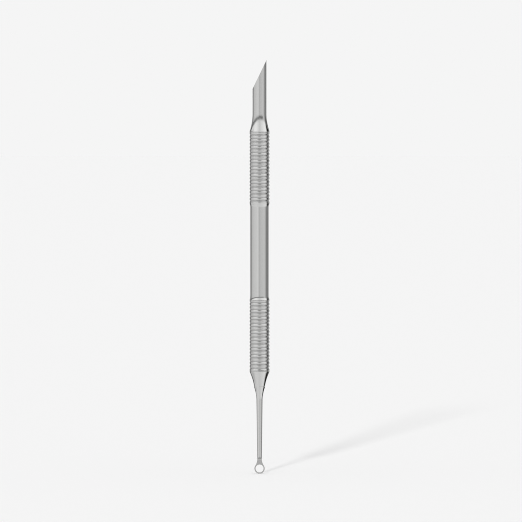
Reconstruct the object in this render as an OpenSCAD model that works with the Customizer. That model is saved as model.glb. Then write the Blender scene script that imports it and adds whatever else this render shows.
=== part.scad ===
// Double-ended cuticle pusher, standing upright on its ring end.
// The handle is a ribbed steel tube. A slanted, hollow-ground blade is pressed into its top
// and a thin stem with a small ring into its bottom.
// The front of the tool faces -Y, and the point of the blade is on the +X side.

/* [Handle tube] */
// Length of the handle tube
handle_len = 78; // [62:0.5:110]
// Diameter of the plain middle of the handle
handle_d = 6.1; // [5.6:0.05:8]
// Diameter of the bore through the handle
bore_d = 4.5; // [3.5:0.1:5]
// Height of a rib above the plain middle
rib_h = 0.2; // [0.1:0.05:0.4]
// Distance from one rib to the next
rib_pitch = 1.13; // [0.9:0.01:1.4]
// Width of a rib at its foot
rib_w = 0.84; // [0.5:0.02:0.86]
// Run of the slope on each side of a rib
rib_slope = 0.19; // [0.05:0.01:0.2]
// Ribs in each grip zone
rib_count = 21; // [4:1:25]
// Run of the long slope from the last rib down to the plain middle
ramp_len = 1.35; // [0.5:0.05:3]

/* [Blade tip] */
// Length of the blade tip from the end of the handle to the point
blade_len = 23.5; // [20:0.5:32]
// Diameter of the blade's round outside
blade_d = 4.58; // [3.8:0.02:5.2]
// Length of the neck between the handle and the straight blade
blade_neck_len = 6.1; // [4:0.1:9]
// Height of the slanted cut across the blade
slant_h = 9.5; // [4:0.1:11]
// Thickness of the blade at the middle of its hollow
blade_wall = 0.8; // [0.5:0.05:1.2]
// Radius of the hollow in the back of the blade
hollow_r = 1.84; // [1.4:0.02:1.9]
// Distance of the blade's flat rim behind the axis
rim_back = 0.3; // [0:0.05:0.6]
// Height above the handle at which the ground back meets the rim
back_start = 8.5; // [7:0.1:10]
// Radius of the wheel that ground the back of the neck away
back_grind_r = 9; // [6:0.5:14]
// Height above the handle at which the hollow is full depth
hollow_start = 11; // [9.5:0.1:13]

/* [Loop tip] */
// Length of the loop tip from the end of the handle to the bottom of the ring
loop_len = 33.5; // [28:0.5:45]
// Length of the upper taper of the neck
taper_len = 4.9; // [4:0.1:7]
// Radius of the hollow curve of the upper taper
taper_arc_r = 18; // [9:0.5:25]
// Diameter of the ridge between the two tapers
ridge_d = 3.6; // [2.6:0.02:4.2]
// Width of the ridge
ridge_w = 0.3; // [0.1:0.05:0.8]
// Length of the lower taper, from the ridge to the stem
flare_len = 4.5; // [3:0.1:6]
// Diameter of the stem at its top
stem_top_d = 2.02; // [1.7:0.02:2.4]
// Diameter of the stem at the flattened tail
stem_end_d = 1.54; // [1.4:0.02:1.9]
// Outside diameter of the ring
ring_d = 3.35; // [2.9:0.05:5]
// Diameter of the hole in the ring
ring_hole_d = 2.6; // [1.8:0.05:2.7]
// Thickness of the ring and of the tail above it
ring_t = 0.7; // [0.4:0.05:1.2]
// Width of the tail at its waist
waist_w = 1.46; // [1:0.02:1.5]
// Radius of the curve from the waist into the ring
waist_arc_r = 4.2; // [2.5:0.1:6]
// Height of the tail's flats
flat_h = 4.4; // [4:0.1:5.5]
// Radius at which the flats run out into the round stem
flat_runout_r = 1.2; // [0.6:0.1:3]

/* [Pressed joints] */
// Length of the spigot that each tip has inside the handle
spigot_len = 8; // [4:0.5:14]
// Gap between a spigot and the bore, across the diameter
fit_gap = 0.02; // [0.01:0.01:0.1]
// Bevel on both sides of the seam between a tip and the handle
seam_bevel = 0.05; // [0.04:0.01:0.15]
// Straight band beside the seam on each tip
seam_band = 0.15; // [0.05:0.05:0.5]
// Bevel that leads a spigot into the bore
lead_bevel = 0.4; // [0.2:0.1:0.8]

/* [Hidden] */
$fn = 96;
// Steps of the arc along a neck
arc_steps = 24;

handle_r = handle_d / 2;
bore_r = bore_d / 2;
crest_r = handle_r + rib_h;
spigot_r = (bore_d - fit_gap) / 2;
handle_z = loop_len;
blade_z = handle_z + handle_len;

blade_r = blade_d / 2;
hollow_y = blade_wall + hollow_r - blade_r;

ring_r = ring_d / 2;
waist_r = waist_w / 2;
waist_x = waist_r + waist_arc_r;
waist_z = ring_r + sqrt(pow(ring_r + waist_arc_r, 2) - pow(waist_x, 2));
// Half width of the blank tail at its top, on a line from the ring's centre to a waist arc's centre
tail_x = waist_x * (flat_h - ring_r) / (waist_z - ring_r);

// Room that a cutting shape has beyond what it cuts
cut = handle_d;

// Radius of an arc that starts along the axis and leaves it by rise over a length of run
function tangent_arc(run, rise) = (run * run + rise * rise) / (2 * rise);

// Points of the arc of radius r that bows toward the axis from the wide end down to the narrow end
function arc_points(wide, narrow, r) =
  let (chord = wide - narrow)
  let (reach = sqrt(r * r - chord * chord / 4))
  let (centre = (wide + narrow) / 2 + reach * [chord[1], -chord[0]] / norm(chord))
  let (start = asin((wide[1] - centre[1]) / r))
  let (end = asin((narrow[1] - centre[1]) / r))
  [
    for (i = [0 : arc_steps])
      let (turn = start + (end - start) * i / arc_steps)
      centre + r * [-cos(turn), sin(turn)]
  ];

// Outline points of one grip zone, from the end of the tube inward
function grip_points() = [
  for (i = [0 : rib_count - 1])
    let (z = i * rib_pitch)
    let (first = i == 0)
    let (last = i == rib_count - 1)
    each [
      first ? [crest_r - seam_bevel, 0] : [handle_r, z],
      first ? [crest_r, seam_bevel] : [crest_r, z + rib_slope],
      [crest_r, z + rib_w - rib_slope],
      last ? [handle_r, z + rib_w - rib_slope + ramp_len] : [handle_r, z + rib_w],
    ]
];

// The tube's section: both grip zones outside, the straight bore inside
module tube_section() {
  grip = grip_points();
  far_grip = [for (i = [len(grip) - 1 : -1 : 0]) [grip[i][0], handle_len - grip[i][1]]];
  polygon(concat([[bore_r, 0]], grip, far_grip, [[bore_r, handle_len]]));
}

// Outline points that both tips share: the spigot above the seam and the foot below it
function root_points() = [
  [0, spigot_len],
  [spigot_r - lead_bevel, spigot_len],
  [spigot_r, spigot_len - lead_bevel],
  [spigot_r, 0],
  [crest_r - seam_bevel, 0],
  [crest_r, -seam_bevel],
];

// Round blank of the blade tip, drawn hanging from the seam: the neck and the straight blade
module blade_blank() {
  wide = [crest_r, -seam_bevel - seam_band];
  narrow = [blade_r, -blade_neck_len];
  neck_r = tangent_arc(wide[1] - narrow[1], wide[0] - narrow[0]);
  rotate_extrude()
    polygon(concat(
      root_points(),
      arc_points(wide, narrow, neck_r),
      [[blade_r, -blade_len], [0, -blade_len]]
    ));
}

// Round blank of the loop tip, hanging from the seam: two tapers with a ridge between, then the stem
module stem_blank() {
  wide = [crest_r, -seam_bevel - seam_band];
  ridge_top = [ridge_d / 2, -taper_len];
  ridge_foot = [ridge_d / 2, -taper_len - ridge_w];
  stem_top = [stem_top_d / 2, ridge_foot[1] - flare_len];
  flare_r = tangent_arc(flare_len, ridge_foot[0] - stem_top[0]);
  rotate_extrude()
    polygon(concat(
      root_points(),
      arc_points(wide, ridge_top, taper_arc_r),
      arc_points(ridge_foot, stem_top, flare_r),
      [[stem_end_d / 2, flat_h - loop_len]],
      [[stem_end_d / 2, ring_d - loop_len], [0, ring_d - loop_len]]
    ));
}

// What grinding takes off the back of the blade: the flat rim and its run-out into the neck
module back_cut() {
  translate([-cut, rim_back, back_start])
    cube([2 * cut, 2 * back_grind_r, blade_len]);
  translate([0, rim_back + back_grind_r, back_start])
    rotate([0, 90, 0])
      cylinder(h = 2 * cut, r = back_grind_r, center = true);
}

// The long hollow in the back of the blade, with a round end
module hollow_cut() {
  translate([0, hollow_y, hollow_start]) {
    cylinder(h = blade_len, r = hollow_r);
    sphere(hollow_r);
  }
}

// Everything above the slanted edge, which rises to the point on the +X side
module slant_cut() {
  slope = slant_h / blade_d;
  rotate([90, 0, 0])
    linear_extrude(height = 2 * cut, center = true)
      polygon([
        [-blade_r - cut, blade_len - slant_h - cut * slope],
        [blade_r + cut, blade_len + cut * slope],
        [-blade_r - cut, blade_len + cut * slope],
      ]);
}

// Outline of the ring and of the blank tail above it, seen from the front
module ring_outline() {
  difference() {
    union() {
      translate([0, ring_r])
        circle(ring_r);
      polygon([[0, ring_r], [tail_x, flat_h], [-tail_x, flat_h]]);
    }
    translate([0, ring_r])
      circle(ring_hole_d / 2);
  }
}

// Stands a shape of the front view upright, centred on the axis in depth
module upright(depth) {
  rotate([90, 0, 0])
    linear_extrude(height = depth, center = true)
      children();
}

// What grinding takes off the ring end: the flats with their run-outs, and the sides of the waist
module tail_cuts() {
  for (back = [0, 1])
    mirror([0, back, 0])
      translate([0, ring_t / 2, 0]) {
        translate([-cut, 0, 0])
          cube([2 * cut, cut, flat_h]);
        translate([0, flat_runout_r, flat_h])
          rotate([0, 90, 0])
            cylinder(h = 2 * cut, r = flat_runout_r, center = true);
      }
  for (side = [-1, 1])
    translate([side * waist_x, 0, waist_z])
      upright(2 * cut)
        circle(waist_arc_r);
}

module handle_tube() {
  color("silver")
    translate([0, 0, handle_z])
      rotate_extrude()
        tube_section();
}

module blade_tip() {
  color("lightgray")
    translate([0, 0, blade_z])
      difference() {
        mirror([0, 0, 1])
          blade_blank();
        back_cut();
        hollow_cut();
        slant_cut();
      }
}

module loop_tip() {
  color("lightgray")
    difference() {
      union() {
        translate([0, 0, loop_len])
          stem_blank();
        upright(stem_end_d)
          ring_outline();
      }
      tail_cuts();
    }
}

handle_tube();
blade_tip();
loop_tip();
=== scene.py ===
from math import asin, atan2, cos, pi, radians, sin, sqrt

import bmesh
import bpy
from mathutils import Matrix, Vector


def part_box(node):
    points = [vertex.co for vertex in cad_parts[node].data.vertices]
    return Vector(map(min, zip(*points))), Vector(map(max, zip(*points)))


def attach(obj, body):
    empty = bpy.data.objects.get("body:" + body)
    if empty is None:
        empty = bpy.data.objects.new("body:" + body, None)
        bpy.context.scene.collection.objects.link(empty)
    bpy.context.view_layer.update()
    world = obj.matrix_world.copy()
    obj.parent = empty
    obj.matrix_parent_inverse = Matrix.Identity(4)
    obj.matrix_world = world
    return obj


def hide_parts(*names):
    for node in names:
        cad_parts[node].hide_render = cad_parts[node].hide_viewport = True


# a cuticle pusher: a ribbed handle with a blade pressed into its top and a ring on a stem into its bottom
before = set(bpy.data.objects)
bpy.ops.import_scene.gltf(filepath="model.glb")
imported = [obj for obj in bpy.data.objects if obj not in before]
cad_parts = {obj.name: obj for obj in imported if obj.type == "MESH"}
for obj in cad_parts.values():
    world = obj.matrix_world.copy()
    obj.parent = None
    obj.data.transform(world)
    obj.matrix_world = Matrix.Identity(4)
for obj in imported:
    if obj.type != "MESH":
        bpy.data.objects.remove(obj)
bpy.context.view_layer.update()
mm = 0.001  # the pieces are modelled in millimetres and made metres when they are finished

# places that the pieces share, read from the frame
handleLow, handleHigh = (corner / mm for corner in map(Vector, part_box("handle_tube")))
bladeLow, bladeHigh = (corner / mm for corner in map(Vector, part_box("blade_tip")))
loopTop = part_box("loop_tip")[1][2] / mm
lowerSeam, upperSeam = handleLow.z, handleHigh.z
handleMiddle = (upperSeam + lowerSeam) / 2
crestRadius = handleHigh.x
print("frame: handle from", round(lowerSeam, 2), "to", round(upperSeam, 2), "mm,",
      "point at", round(bladeHigh.z, 2))

modelling = {
    "weld": 0.0005,          # points closer than this become one, in millimetres
    "cutWeld": 0.004,        # the same after cutters have met
    "flatAngle": 0.5,        # faces that turn less are joined, in degrees
    "softenAngle": 35,       # edges that turn more are softened
    "softenSegments": 2,
    "sharpAngle": 32,        # edges that turn more are shaded sharp
    "margin": 0.01,          # allowance when places are compared
    "overrun": 1.0,          # how far a cutter passes what it cuts
}


# a profile is a chain of edges in the XZ plane, x its radius and z its height
def lineTo(bm, tip, radius, height):
    tip = bmesh.ops.extrude_vert_indiv(bm, verts=[tip])["verts"][0]
    tip.co = (radius, 0, height)
    return tip


def arcTo(bm, tip, centreRadius, centreHeight, angle, steps):
    swept = bmesh.ops.spin(bm, geom=[tip], cent=(centreRadius, 0, centreHeight), axis=(0, 1, 0),
                           angle=angle, steps=steps)
    return swept["geom_last"][0]


# the arc from the tip to another profile point that bows toward the axis
def bowTo(bm, tip, radius, height, bend, steps):
    start, end = Vector((tip.co.x, tip.co.z)), Vector((radius, height))
    chord = end - start
    out = Vector((-chord.y, chord.x)).normalized()
    if out.x < 0:
        out.negate()
    centre = (start + end) / 2 + out * sqrt(bend ** 2 - chord.length_squared / 4)
    angle = 2 * asin(chord.length / 2 / bend)
    return arcTo(bm, tip, centre.x, centre.y, angle if height > start.y else -angle, steps)


# radius of the arc that leaves a straight line smoothly and rises over a run
def tangentBend(run, rise):
    return (run ** 2 + rise ** 2) / (2 * rise)


def roundCorners(bm, corners, width, segments):
    bmesh.ops.bevel(bm, geom=corners, offset=width, segments=segments, profile=0.5, affect="VERTICES",
                    material=-1)


# operators leave points and faces in another order each run, which would sway the welding of cuts
def putInOrder(bm):
    verts = sorted(bm.verts, key=lambda v: v.co[:])
    number = {v: i for i, v in enumerate(verts)}
    places = [v.co.copy() for v in verts]

    def height(side):
        return side.vert.co.z + side.link_loop_next.vert.co.z, number[side.vert]

    faces = []
    for face in bm.faces:
        side = min(face.loops, key=height)  # every face starts at its lowest side
        corners = []
        while len(corners) < len(face.verts):
            corners.append(number[side.vert])
            side = side.link_loop_next
        faces.append(corners)
    bm.clear()
    verts = [bm.verts.new(co) for co in places]
    for corners in sorted(faces, key=sorted):
        bm.faces.new([verts[i] for i in corners])
    bm.normal_update()


def turnProfile(bm, sides):
    bmesh.ops.spin(bm, geom=bm.verts[:] + bm.edges[:], cent=(0, 0, 0), axis=(0, 0, 1), angle=2 * pi,
                   steps=sides, use_merge=True)
    bmesh.ops.remove_doubles(bm, verts=bm.verts, dist=modelling["weld"])  # closes the poles
    bmesh.ops.recalc_face_normals(bm, faces=bm.faces)
    putInOrder(bm)


# a closed profile filled and pulled through the tool from side to side, along x or along y
def pullProfile(bm, reach, along):
    face = bmesh.ops.contextual_create(bm, geom=bm.edges[:])["faces"]
    pulled = bmesh.ops.extrude_face_region(bm, geom=face)["geom"]
    far = [v for v in pulled if isinstance(v, bmesh.types.BMVert)]
    bmesh.ops.translate(bm, verts=far, vec=(0, 2 * reach, 0))
    bmesh.ops.translate(bm, verts=bm.verts, vec=(0, -reach, 0))
    if along == "x":
        bmesh.ops.rotate(bm, verts=bm.verts, matrix=Matrix.Rotation(pi / 2, 3, "Z"))
    bmesh.ops.recalc_face_normals(bm, faces=bm.faces)


# a round cutter through the tool from front to back
def crossCylinder(bm, x, z, radius, length, sides):
    place = Matrix.Translation((x, 0, z)) @ Matrix.Rotation(pi / 2, 4, "X")
    bmesh.ops.create_cone(bm, cap_ends=True, segments=sides, radius1=radius, radius2=radius, depth=length,
                          matrix=place)


def newObject(name, bm):
    mesh = bpy.data.meshes.new(name)
    bm.to_mesh(mesh)
    bm.free()
    piece = bpy.data.objects.new(name, mesh)
    bpy.context.scene.collection.objects.link(piece)
    return piece


def combine(piece, others, operation):
    for other in others:
        step = piece.modifiers.new("combine", "BOOLEAN")
        step.operation, step.solver, step.object = operation, "EXACT", other
    shaped = bpy.data.meshes.new_from_object(piece.evaluated_get(bpy.context.evaluated_depsgraph_get()))
    piece.modifiers.clear()
    piece.data = shaped
    for other in others:
        bpy.data.objects.remove(other)


# softens the sharp edges with both ends at places that are chosen
def softenEdges(bm, width, chosen):
    putInOrder(bm)
    bmesh.ops.remove_doubles(bm, verts=bm.verts, dist=modelling["cutWeld"])
    bmesh.ops.dissolve_limit(bm, angle_limit=radians(modelling["flatAngle"]), verts=bm.verts, edges=bm.edges)
    sharp = radians(modelling["softenAngle"])
    edges = [e for e in bm.edges if e.is_manifold and e.calc_face_angle() > sharp
             and all(chosen(v.co) for v in e.verts)]
    bmesh.ops.bevel(bm, geom=edges, offset=width, segments=modelling["softenSegments"], profile=0.5,
                    affect="EDGES", material=-1, clamp_overlap=False)
    bmesh.ops.recalc_face_normals(bm, faces=bm.faces)


def finishPiece(piece, node, material):
    mesh = piece.data
    mesh.transform(Matrix.Scale(mm, 4))
    mesh.shade_smooth()
    mesh.set_sharp_from_angle(angle=radians(modelling["sharpAngle"]))
    mesh.materials.clear()
    mesh.materials.append(material)
    normals = piece.modifiers.new("evenNormals", "WEIGHTED_NORMAL")
    normals.keep_sharp = True
    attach(piece, "root")
    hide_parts(node)
    triangles = sum(len(p.vertices) - 2 for p in mesh.polygons)
    print(piece.name, "done,", triangles, "triangles")


# node helpers: a value is a number, a colour or another node's output
def feed(links, socket, value):
    if hasattr(value, "is_output"):
        links.new(value, socket)
    else:
        socket.default_value = value


def calc(nodes, links, operation, *values):
    node = nodes.new("ShaderNodeMath")
    node.operation = operation
    for socket, value in zip(node.inputs, values):
        feed(links, socket, value)
    return node.outputs["Value"]


def remap(nodes, links, value, fromLow, fromHigh, toLow, toHigh):
    node = nodes.new("ShaderNodeMapRange")
    numbers = {"Value": value, "From Min": fromLow, "From Max": fromHigh, "To Min": toLow, "To Max": toHigh}
    for socket, number in numbers.items():
        feed(links, node.inputs[socket], number)
    return node.outputs["Result"]


def mix(nodes, links, kind, factor, first, second):
    node = nodes.new("ShaderNodeMix")
    node.data_type = kind
    a, b, result = {"FLOAT": (2, 3, 0), "RGBA": (6, 7, 2)}[kind]  # the node has sockets for each kind
    for socket, value in ((0, factor), (a, first), (b, second)):
        feed(links, node.inputs[socket], value)
    return node.outputs[result]


satin = {
    "pale": (0.67, 0.67, 0.663, 1),
    "grey": (0.625, 0.625, 0.619, 1),
    "cloudScale": (260, 260, 140),
    "noiseDetail": 3.0,
    "noiseSpan": (0.3, 0.7),  # where most of the noise lies
    "roughness": (0.12, 0.17),
    "lineShare": 0.6,        # of the roughness, the clouds have the rest
    "lineDepth": 0.0005 * mm,
    "lengthwiseLines": (26000, 26000, 180),  # per metre along x, y and z
}


def stretchedNoise(nodes, links, coords, scale):
    mapping = nodes.new("ShaderNodeMapping")
    mapping.inputs["Scale"].default_value = scale
    noise = nodes.new("ShaderNodeTexNoise")
    noise.inputs["Scale"].default_value = 1.0
    noise.inputs["Detail"].default_value = satin["noiseDetail"]
    links.new(coords, mapping.inputs["Vector"])
    links.new(mapping.outputs["Vector"], noise.inputs["Vector"])
    return noise.outputs["Fac"]


# satin steel with fine lines from its last machining, stretched by the scale of their noise
def satinSteel(name, lineScale):
    material = bpy.data.materials.new(name)
    material.use_nodes = True
    nodes, links = material.node_tree.nodes, material.node_tree.links
    shader = nodes["Principled BSDF"]
    shader.inputs["Metallic"].default_value = 1.0
    coords = nodes.new("ShaderNodeTexCoord").outputs["Object"]
    lines = stretchedNoise(nodes, links, coords, lineScale)
    clouds = stretchedNoise(nodes, links, coords, satin["cloudScale"])
    colour = mix(nodes, links, "RGBA", clouds, satin["grey"], satin["pale"])
    links.new(colour, shader.inputs["Base Color"])
    grain = mix(nodes, links, "FLOAT", satin["lineShare"], clouds, lines)
    roughness = remap(nodes, links, grain, *satin["noiseSpan"], *satin["roughness"])
    links.new(roughness, shader.inputs["Roughness"])
    bump = nodes.new("ShaderNodeBump")
    bump.inputs["Strength"].default_value = 1.0
    bump.inputs["Distance"].default_value = satin["lineDepth"]
    links.new(lines, bump.inputs["Height"])
    links.new(bump.outputs["Normal"], shader.inputs["Normal"])
    return material


# where the mask is 1 the finish is duller and the colour darker; on the handle that darker colour is painted
# shade
def darkenAndDullWhere(material, mask, colour, roughness):
    nodes, links = material.node_tree.nodes, material.node_tree.links
    shader = nodes["Principled BSDF"]
    for name, kind, dull in (("Base Color", "RGBA", colour), ("Roughness", "FLOAT", roughness)):
        socket = shader.inputs[name]
        links.new(mix(nodes, links, kind, mask, socket.links[0].from_socket, dull), socket)


def objectPlace(material):
    nodes, links = material.node_tree.nodes, material.node_tree.links
    place = nodes.new("ShaderNodeSeparateXYZ")
    links.new(nodes["Texture Coordinate"].outputs["Object"], place.inputs["Vector"])
    return nodes, links, *place.outputs


handle = {
    "plainDiameter": 6.1,
    "boreDiameter": 4.5,
    "ribPitch": 1.13,
    "ribCount": 21,
    "ribWidth": 0.84,        # at its foot
    "flankRun": 0.19,
    "crestRound": 0.12,
    "crestSegments": 3,
    "valleyRound": 0.05,
    "valleySegments": 2,
    "rampRun": 1.35,         # of the slope from the last rib to the plain middle
    "rampSteps": 10,
    "seamBevel": 0.05,       # on both sides of a seam
    "sides": 128,
    "turnedLines": (250, 250, 36000),
    # painted shade between the ribs, darker than the steel
    "valleyShadeColour": (0.52, 0.52, 0.515, 1),
    "valleyRoughness": 0.34,
    "valleyFade": (0.1, 0.6),  # shares of a rib's height over which the dull finish and the painted shade end
}
plainRadius = handle["plainDiameter"] / 2
# heights above the middle of the handle
handleEnd = upperSeam - handleMiddle
gripStart = handleEnd - (handle["ribCount"] - 1) * handle["ribPitch"] - handle["ribWidth"]


def makeHandle():
    bm = bmesh.new()
    boreRadius = handle["boreDiameter"] / 2
    crests, valleys = [], []  # corners to round
    tip = bm.verts.new((plainRadius, 0, 0))  # the upper half, from the middle up
    crestStart = gripStart + handle["flankRun"]
    rampStart = crestStart - handle["rampRun"]
    tip = lineTo(bm, tip, plainRadius, rampStart - handle["flankRun"])  # ends the long faces before the ramp
    tip = lineTo(bm, tip, plainRadius, rampStart)
    bend = tangentBend(handle["rampRun"], crestRadius - plainRadius)
    tip = arcTo(bm, tip, plainRadius + bend, rampStart, asin(handle["rampRun"] / bend), handle["rampSteps"])
    for rib in reversed(range(handle["ribCount"])):
        top = handleEnd - rib * handle["ribPitch"]
        if rib < handle["ribCount"] - 1:
            tip = lineTo(bm, tip, plainRadius, top - handle["ribWidth"])
            valleys.append(tip)
            tip = lineTo(bm, tip, crestRadius, top - handle["ribWidth"] + handle["flankRun"])
            crests.append(tip)
        if rib > 0:
            tip = lineTo(bm, tip, crestRadius, top - handle["flankRun"])
            crests.append(tip)
            tip = lineTo(bm, tip, plainRadius, top)
            valleys.append(tip)
    tip = lineTo(bm, tip, crestRadius, handleEnd - handle["seamBevel"])
    tip = lineTo(bm, tip, crestRadius - handle["seamBevel"], handleEnd)
    tip = lineTo(bm, tip, boreRadius, handleEnd)
    tip = lineTo(bm, tip, boreRadius, 0)
    roundCorners(bm, crests, handle["crestRound"], handle["crestSegments"])
    roundCorners(bm, valleys, handle["valleyRound"], handle["valleySegments"])
    bmesh.ops.mirror(bm, geom=bm.verts[:] + bm.edges[:], axis="Z", merge_dist=modelling["weld"])
    turnProfile(bm, handle["sides"])
    bmesh.ops.translate(bm, verts=bm.verts, vec=(0, 0, handleMiddle))
    return newObject("handleTube", bm)


# turned round the axis; between the ribs, where the polishing wheel doesn't reach, the finish is duller and
# the colour is darkened as painted shade
def turnedSteel():
    material = satinSteel("turnedSteel", handle["turnedLines"])
    nodes, links, x, y, z = objectPlace(material)
    squares = calc(nodes, links, "MULTIPLY_ADD", x, x, calc(nodes, links, "MULTIPLY", y, y))
    fromAxis = calc(nodes, links, "SQRT", squares)
    ribHeight = crestRadius - plainRadius
    fade = [(plainRadius + share * ribHeight) * mm for share in handle["valleyFade"]]
    deep = remap(nodes, links, fromAxis, *fade, 1.0, 0.0)
    fromMiddle = calc(nodes, links, "ABSOLUTE", calc(nodes, links, "SUBTRACT", z, handleMiddle * mm))
    ribbed = remap(nodes, links, fromMiddle, gripStart * mm, (gripStart + handle["flankRun"]) * mm, 0.0, 1.0)
    valley = calc(nodes, links, "MULTIPLY", deep, ribbed)
    # the valley mask dulls the finish and paints shade into the colour between the ribs
    darkenAndDullWhere(material, valley, handle["valleyShadeColour"], handle["valleyRoughness"])
    return material


finishPiece(makeHandle(), "handle_tube", turnedSteel())

# both tips have the same root: the spigot inside the handle and the foot at the seam
root = {
    "fitGap": 0.02,          # across the bore
    "leadBevel": 0.4,
    "seamBand": 0.15,
}


def rootProfile(bm, spigotEnd, seam):
    away = 1 if seam > spigotEnd else -1  # up or down, out of the handle
    spigotRadius = (handle["boreDiameter"] - root["fitGap"]) / 2
    bevel = handle["seamBevel"]
    tip = bm.verts.new((0, 0, spigotEnd))
    tip = lineTo(bm, tip, spigotRadius - root["leadBevel"], spigotEnd)
    tip = lineTo(bm, tip, spigotRadius, spigotEnd + away * root["leadBevel"])
    tip = lineTo(bm, tip, spigotRadius, seam)
    tip = lineTo(bm, tip, crestRadius - bevel, seam)
    tip = lineTo(bm, tip, crestRadius, seam + away * bevel)
    return lineTo(bm, tip, crestRadius, seam + away * (bevel + root["seamBand"]))


blade = {
    "diameter": 4.58,
    "neckLength": 6.1,
    "neckSteps": 32,
    "slantHeight": 9.5,
    "wall": 0.8,             # at the middle of the hollow
    "hollowRadius": 1.84,
    "hollowStart": 11.0,     # height above the seam
    "hollowSteps": 32,
    "rimBack": 0.3,          # from the axis to the flat rim behind it
    "backStart": 8.5,        # height above the seam
    "wheelRadius": 9.0,
    "wheelSteps": 96,
    "edgeSoftening": 0.035,
    "sides": 128,
    "spare": 5.0,            # what the blank and the cutters have beyond the finished blade
}


def makeBlade():
    radius = blade["diameter"] / 2
    blankTop = bladeHigh.z + blade["spare"]
    neckTop = upperSeam + blade["neckLength"]
    bm = bmesh.new()
    tip = rootProfile(bm, bladeLow.z, upperSeam)
    run = neckTop - tip.co.z
    bend = tangentBend(run, tip.co.x - radius)
    tip = arcTo(bm, tip, radius + bend, neckTop, asin(run / bend), blade["neckSteps"])
    tip = lineTo(bm, tip, radius, blankTop)
    tip = lineTo(bm, tip, 0, blankTop)
    turnProfile(bm, blade["sides"])
    piece = newObject("bladeTip", bm)

    # the wheel that grinds the back down to the rim, with its run-out into the neck
    wheel = blade["wheelRadius"]
    grindLow = upperSeam + blade["backStart"]
    cutterTop = blankTop + modelling["overrun"]
    bm = bmesh.new()
    tip = first = bm.verts.new((blade["rimBack"], 0, cutterTop))
    tip = lineTo(bm, tip, blade["rimBack"], grindLow)
    tip = arcTo(bm, tip, blade["rimBack"] + wheel, grindLow, -pi / 2, blade["wheelSteps"])
    tip = lineTo(bm, tip, blade["rimBack"] + wheel, cutterTop)
    bm.edges.new((tip, first))
    pullProfile(bm, blade["spare"], "x")
    grinder = newObject("grinder", bm)

    # the long hollow with its round end
    hollow = blade["hollowRadius"]
    hollowLow = upperSeam + blade["hollowStart"]
    bm = bmesh.new()
    tip = bm.verts.new((0, 0, hollowLow - hollow))
    tip = arcTo(bm, tip, 0, hollowLow, -pi / 2, blade["hollowSteps"])
    tip = lineTo(bm, tip, hollow, cutterTop)
    tip = lineTo(bm, tip, 0, cutterTop)
    turnProfile(bm, blade["sides"])
    bmesh.ops.translate(bm, verts=bm.verts, vec=(0, blade["wall"] + hollow - radius, 0))
    reamer = newObject("reamer", bm)
    combine(piece, [grinder, reamer], "DIFFERENCE")

    # the slanted cut, up to the point
    bm = bmesh.new()
    bm.from_mesh(piece.data)
    normal = Vector((-blade["slantHeight"], 0, blade["diameter"])).normalized()
    cut = bmesh.ops.bisect_plane(bm, geom=bm.verts[:] + bm.edges[:] + bm.faces[:], dist=modelling["weld"],
                                 plane_co=(radius, 0, bladeHigh.z), plane_no=normal, clear_outer=True)
    bmesh.ops.edgeloop_fill(bm, edges=[e for e in cut["geom_cut"] if isinstance(e, bmesh.types.BMEdge)])

    # the rim of the hollow's round end stays as it was ground
    def softened(co):
        margin = modelling["margin"]
        return co.z > hollowLow + margin or (abs(co.x) > hollow + margin and co.z > grindLow - margin)

    softenEdges(bm, blade["edgeSoftening"], softened)
    bm.to_mesh(piece.data)
    bm.free()
    return piece


# ground lengthwise
def groundSteel():
    return satinSteel("groundSteel", satin["lengthwiseLines"])


finishPiece(makeBlade(), "blade_tip", groundSteel())

loop = {
    "taperLength": 4.9,
    "taperBend": 18.0,
    "ridgeDiameter": 3.6,
    "ridgeWidth": 0.3,
    "ridgeRound": 0.04,
    "ridgeSegments": 2,
    "flareLength": 4.5,
    "neckSteps": 20,         # in each of the two curves
    "stemTopDiameter": 2.02,
    "stemEndDiameter": 1.54,
    "ringDiameter": 3.35,
    "ringSteps": 128,
    "holeDiameter": 2.6,
    "holeSides": 128,
    "thickness": 0.7,        # of the ring and of its tail
    "waistWidth": 1.46,
    "waistBend": 4.2,
    "waistSides": 256,
    "flatHeight": 4.4,
    "flatRunout": 1.2,
    "runoutSteps": 48,
    "trim": 0.075,           # what the cuts take off the foot of the stem
    "trimRun": 0.8,          # height above the waist at which that starts
    "edgeSoftening": 0.045,
    "sides": 96,
    "spare": 5.0,            # what the cutters have beyond the stem
    "flatColour": (0.57, 0.57, 0.565, 1),
    "flatRoughness": 0.42,
    "flatFade": 0.3,         # height over which the dull finish ends
}


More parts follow.
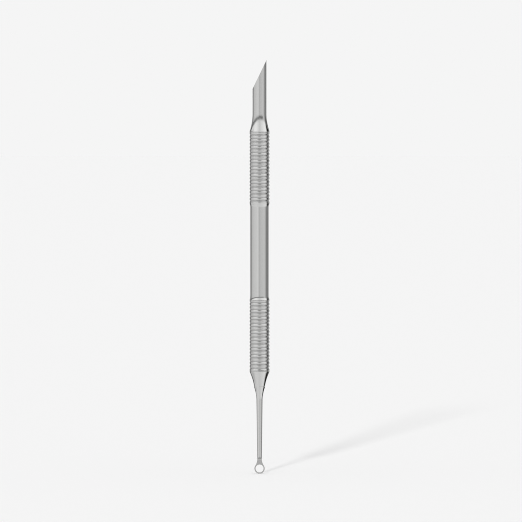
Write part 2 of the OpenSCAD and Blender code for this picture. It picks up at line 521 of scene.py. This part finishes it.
def makeLoop():
    ringRadius = loop["ringDiameter"] / 2
    waistX = loop["waistWidth"] / 2 + loop["waistBend"]
    waistZ = ringRadius + sqrt((ringRadius + loop["waistBend"]) ** 2 - waistX ** 2)
    ridgeRadius = loop["ridgeDiameter"] / 2
    stemTop = loop["stemTopDiameter"] / 2
    stemEnd = loop["stemEndDiameter"] / 2
    bm = bmesh.new()
    tip = rootProfile(bm, loopTop, lowerSeam)
    tip = bowTo(bm, tip, ridgeRadius, lowerSeam - loop["taperLength"], loop["taperBend"], loop["neckSteps"])
    ridge = [tip]
    ridgeFoot = tip.co.z - loop["ridgeWidth"]
    tip = lineTo(bm, tip, ridgeRadius, ridgeFoot)
    ridge.append(tip)
    bend = tangentBend(loop["flareLength"], ridgeRadius - stemTop)
    tip = bowTo(bm, tip, stemTop, ridgeFoot - loop["flareLength"], bend, loop["neckSteps"])
    tip = lineTo(bm, tip, stemEnd, waistZ + loop["trimRun"])
    tip = lineTo(bm, tip, stemEnd + loop["trim"], loop["flatHeight"])
    tip = lineTo(bm, tip, stemEnd + loop["trim"], loop["ringDiameter"])
    tip = lineTo(bm, tip, 0, loop["ringDiameter"])
    roundCorners(bm, ridge, loop["ridgeRound"], loop["ridgeSegments"])
    turnProfile(bm, loop["sides"])
    piece = newObject("loopTip", bm)

    # the ring and the blank of its tail, as thick as the stem
    tailX = waistX * (loop["flatHeight"] - ringRadius) / (waistZ - ringRadius)
    shoulder = Vector((-waistX, 0, waistZ - ringRadius)).normalized() * ringRadius
    sweep = 2 * (pi - atan2(waistX, waistZ - ringRadius))
    bm = bmesh.new()
    first = bm.verts.new((-tailX, 0, loop["flatHeight"]))
    tip = lineTo(bm, first, shoulder.x, shoulder.z + ringRadius)
    tip = arcTo(bm, tip, 0, ringRadius, -sweep, loop["ringSteps"])
    tip = lineTo(bm, tip, tailX, loop["flatHeight"])
    bm.edges.new((tip, first))
    pullProfile(bm, stemEnd, "y")
    ring = newObject("ring", bm)
    combine(piece, [ring], "UNION")

    cutters = []
    flat = loop["thickness"] / 2
    cutterFoot = -modelling["overrun"]
    for turn in (0, pi):  # the flats, front and back, with their run-outs
        bm = bmesh.new()
        tip = first = bm.verts.new((flat, 0, cutterFoot))
        tip = lineTo(bm, tip, flat, loop["flatHeight"])
        tip = arcTo(bm, tip, flat + loop["flatRunout"], loop["flatHeight"], pi / 2, loop["runoutSteps"])
        tip = lineTo(bm, tip, flat + loop["flatRunout"], cutterFoot)
        bm.edges.new((tip, first))
        pullProfile(bm, loop["spare"], "x")
        bmesh.ops.rotate(bm, verts=bm.verts, matrix=Matrix.Rotation(turn, 3, "Z"))
        cutters.append(newObject("flatCutter", bm))
    for x in (-waistX, waistX):  # the sides of the waist
        bm = bmesh.new()
        crossCylinder(bm, x, waistZ, loop["waistBend"], loop["spare"], loop["waistSides"])
        cutters.append(newObject("waistCutter", bm))
    bm = bmesh.new()
    crossCylinder(bm, 0, ringRadius, loop["holeDiameter"] / 2, loop["spare"], loop["holeSides"])
    cutters.append(newObject("drill", bm))
    combine(piece, cutters, "DIFFERENCE")

    bm = bmesh.new()
    bm.from_mesh(piece.data)
    softenEdges(bm, loop["edgeSoftening"], lambda co: co.z < loop["flatHeight"] + modelling["margin"])
    bm.to_mesh(piece.data)
    bm.free()
    return piece


# drawn lengthwise, with the ring and its tail ground flat and left duller than the stem
def drawnSteel():
    material = satinSteel("drawnSteel", satin["lengthwiseLines"])
    nodes, links, x, y, z = objectPlace(material)
    depth = (loop["stemEndDiameter"] - loop["thickness"]) / 2
    runoutEnd = loop["flatHeight"] + sqrt(depth * (2 * loop["flatRunout"] - depth))
    ground = remap(nodes, links, z, (runoutEnd - loop["flatFade"]) * mm, runoutEnd * mm, 1.0, 0.0)
    darkenAndDullWhere(material, ground, loop["flatColour"], loop["flatRoughness"])
    return material


finishPiece(makeLoop(), "loop_tip", drawnSteel())

view = {
    "frame": 522,            # pixels across the picture
    "pixel": 0.3259 * mm,    # at the tool's axis
    "axisColumn": 259.55,
    "floorRow": 473.8,
    "elevation": 2.5,        # degrees that it looks down
    "lens": 800,
    "sensor": 36,
    "clip": (0.1, 50),
    "pixelFilter": 1.0,
}


def makeCamera():
    data = bpy.data.cameras.new("camera")
    data.lens = view["lens"]
    data.sensor_width = view["sensor"]
    data.clip_start, data.clip_end = view["clip"]
    tilt = radians(view["elevation"])
    aside = (view["frame"] / 2 - view["axisColumn"]) * view["pixel"]
    height = (view["floorRow"] - view["frame"] / 2) * view["pixel"] / cos(tilt)
    distance = view["frame"] * view["pixel"] * view["lens"] / view["sensor"]
    camera = bpy.data.objects.new("camera", data)
    camera.location = Vector((aside, 0, height)) + Vector((0, -cos(tilt), sin(tilt))) * distance
    camera.rotation_euler = (pi / 2 - tilt, 0, 0)
    bpy.context.scene.collection.objects.link(camera)
    bpy.context.scene.camera = camera


makeCamera()
bpy.context.scene.view_settings.view_transform = "Standard"
bpy.context.scene.cycles.filter_width = view["pixelFilter"]
print("camera done")

stage = {
    "floorRadius": 3.0,
    "floorSides": 96,
    "floorShade": 0.9,
    "fill": 0.857,           # soft light from all around on the floor
    "backdrop": 0.913,
    "keySide": 10.5,         # degrees to the left of the camera
    "keyHeight": 18,
    "keyAngle": 4.0,
    "keyStrength": 1.5,
}


def grey(brightness):
    return brightness, brightness, brightness, 1


def makeFloor():
    bm = bmesh.new()
    bmesh.ops.create_circle(bm, cap_ends=True, segments=stage["floorSides"], radius=stage["floorRadius"])
    floor = newObject("floor", bm)
    floor.visible_glossy = False
    material = bpy.data.materials.new("floorPaint")
    material.use_nodes = True
    shader = material.node_tree.nodes["Principled BSDF"]
    shader.inputs["Base Color"].default_value = grey(stage["floorShade"])
    shader.inputs["Roughness"].default_value = 1.0
    shader.inputs["Specular IOR Level"].default_value = 0.0
    floor.data.materials.append(material)


# a soft sun for the shadow, which the steel doesn't mirror
def makeKeyLight():
    key = bpy.data.objects.new("keyLight", bpy.data.lights.new("keyLight", "SUN"))
    bpy.context.scene.collection.objects.link(key)
    key.data.energy = stage["keyStrength"]
    key.data.angle = radians(stage["keyAngle"])
    key.rotation_euler = (pi / 2 - radians(stage["keyHeight"]), 0, -radians(stage["keySide"]))
    key.visible_glossy = False


# what the steel mirrors: brightness by direction around the tool, 0 toward the camera and + to its right
panels = {
    "level": [(-180, 0.72), (-140, 0.35), (-122, 0.3), (-110, 0.62), (-98, 0.73), (-65, 0.83), (-36, 0.87),
              (-24, 0.95), (0, 0.64), (12, 0.75), (62, 0.81), (80, 0.53), (89, 0.46), (99, 0.22), (112, 0.15),
              (119, 0.3), (128, 0.58), (180, 0.66)],
    "above": [(-180, 0.5), (-165, 0.1), (-128, 0.1), (-112, 1.2), (-40, 1.15), (-8, 0.9), (4, 0.82),
              (25, 1.0), (60, 1.15), (86, 1.25), (96, 0.7), (104, 0.0), (165, 0.0), (175, 0.2), (180, 0.4)],
    "below": [(-180, 0.5), (-165, 0.1), (-128, 0.1), (-112, 0.85), (-40, 0.9), (0, 0.84), (50, 0.95),
              (80, 1.05), (98, 0.6), (107, 0.02), (160, 0.02), (170, 0.3), (180, 0.45)],
}
# where each surface starts and is in full, in degrees up or, where a note says so, around
bands = {
    "aboveFrom": (9, 13),
    "belowFrom": (-7, -12),
    "underFrom": (-60, -68),  # the dark ground under the tool
    "underShade": 0.05,
    "wallFrom": (16, 24),    # walls at the left and behind at the right, above and below the level panels
    "leftWall": (-70, -95),  # around
    "leftShade": 0.65,
    "rightWall": (136, 146),  # around
    "rightShade": 1.3,
    "ceilingFrom": (36, 46),  # two boxes overhead with a dark gap between
    "ceilingShade": 1.05,
    "gapFrom": (44, 54),
    "gapSide": (0.3, 0.12),  # share of the direction that is to the side
    "gapShade": 0.1,
    "slotLow": (2, 4),       # a dark slot between the level panels and those above
    "slotHigh": (10.5, 8),
    "slotRise": 5.5,         # how much higher it is on the left
    "riseLeft": (0, -90),    # around
    "riseBack": (-180, -150),  # around, where it is down again
    "slotRight": (46, 66),   # around, where it closes
    "slotBack": (102, 112),  # around, where it opens again
    "slotShade": 0.13,
}


def makeSurroundings():
    world = bpy.data.worlds.new("surroundings")
    bpy.context.scene.world = world
    world.use_nodes = True
    nodes, links = world.node_tree.nodes, world.node_tree.links
    direction = nodes.new("ShaderNodeSeparateXYZ")
    links.new(nodes.new("ShaderNodeTexCoord").outputs["Generated"], direction.inputs["Vector"])
    x, y, z = direction.outputs
    around = calc(nodes, links, "ARCTAN2", x, calc(nodes, links, "MULTIPLY", y, -1.0))
    around = calc(nodes, links, "MULTIPLY", around, 180 / pi)
    height = calc(nodes, links, "MULTIPLY", calc(nodes, links, "ARCSINE", z), 180 / pi)
    turn = remap(nodes, links, around, -180, 180, 0.0, 1.0)
    colours = {}
    for name, stops in panels.items():
        ramp = nodes.new("ShaderNodeValToRGB")
        elements = ramp.color_ramp.elements
        while len(elements) < len(stops):
            elements.new(0.5)  # its place follows
        for element, (angle, brightness) in zip(elements, stops):
            element.position = (angle + 180) / 360
            element.color = grey(brightness)
        links.new(turn, ramp.inputs["Fac"])
        colours[name] = ramp.outputs["Color"]

    def reached(value, band):
        return remap(nodes, links, value, *bands[band], 0.0, 1.0)

    def both(first, second):
        return calc(nodes, links, "MULTIPLY", first, second)

    def less(first, second):
        return calc(nodes, links, "SUBTRACT", first, second)

    def painted(where, under, over):
        return mix(nodes, links, "RGBA", where, under, over)

    colour = painted(reached(height, "belowFrom"), colours["level"], colours["below"])
    colour = painted(reached(height, "underFrom"), colour, grey(bands["underShade"]))
    colour = painted(reached(height, "aboveFrom"), colour, colours["above"])
    steep = reached(calc(nodes, links, "ABSOLUTE", height), "wallFrom")
    colour = painted(both(reached(around, "leftWall"), steep), colour, grey(bands["leftShade"]))
    colour = painted(both(reached(around, "rightWall"), steep), colour, grey(bands["rightShade"]))
    colour = painted(reached(height, "ceilingFrom"), colour, grey(bands["ceilingShade"]))
    overhead = reached(calc(nodes, links, "ABSOLUTE", x), "gapSide")
    colour = painted(both(overhead, reached(height, "gapFrom")), colour, grey(bands["gapShade"]))
    rise = both(reached(around, "riseLeft"), reached(around, "riseBack"))
    lowered = less(height, both(rise, bands["slotRise"]))
    slot = both(reached(lowered, "slotLow"), reached(lowered, "slotHigh"))
    closed = less(reached(around, "slotRight"), reached(around, "slotBack"))
    colour = painted(both(slot, less(1.0, closed)), colour, grey(bands["slotShade"]))
    studio = nodes["Background"]
    links.new(colour, studio.inputs["Color"])

    # the floor is lit evenly, and the camera sees a plain backdrop
    path = nodes.new("ShaderNodeLightPath").outputs
    shader = studio.outputs["Background"]
    for ray, brightness in (("Is Diffuse Ray", stage["fill"]), ("Is Camera Ray", stage["backdrop"])):
        plain = nodes.new("ShaderNodeBackground")
        plain.inputs["Color"].default_value = grey(brightness)
        chosen = nodes.new("ShaderNodeMixShader")
        links.new(path[ray], chosen.inputs["Fac"])
        links.new(shader, chosen.inputs[1])
        links.new(plain.outputs["Background"], chosen.inputs[2])
        shader = chosen.outputs["Shader"]
    links.new(shader, nodes["World Output"].inputs["Surface"])


makeFloor()
makeKeyLight()
makeSurroundings()
print("stage done")
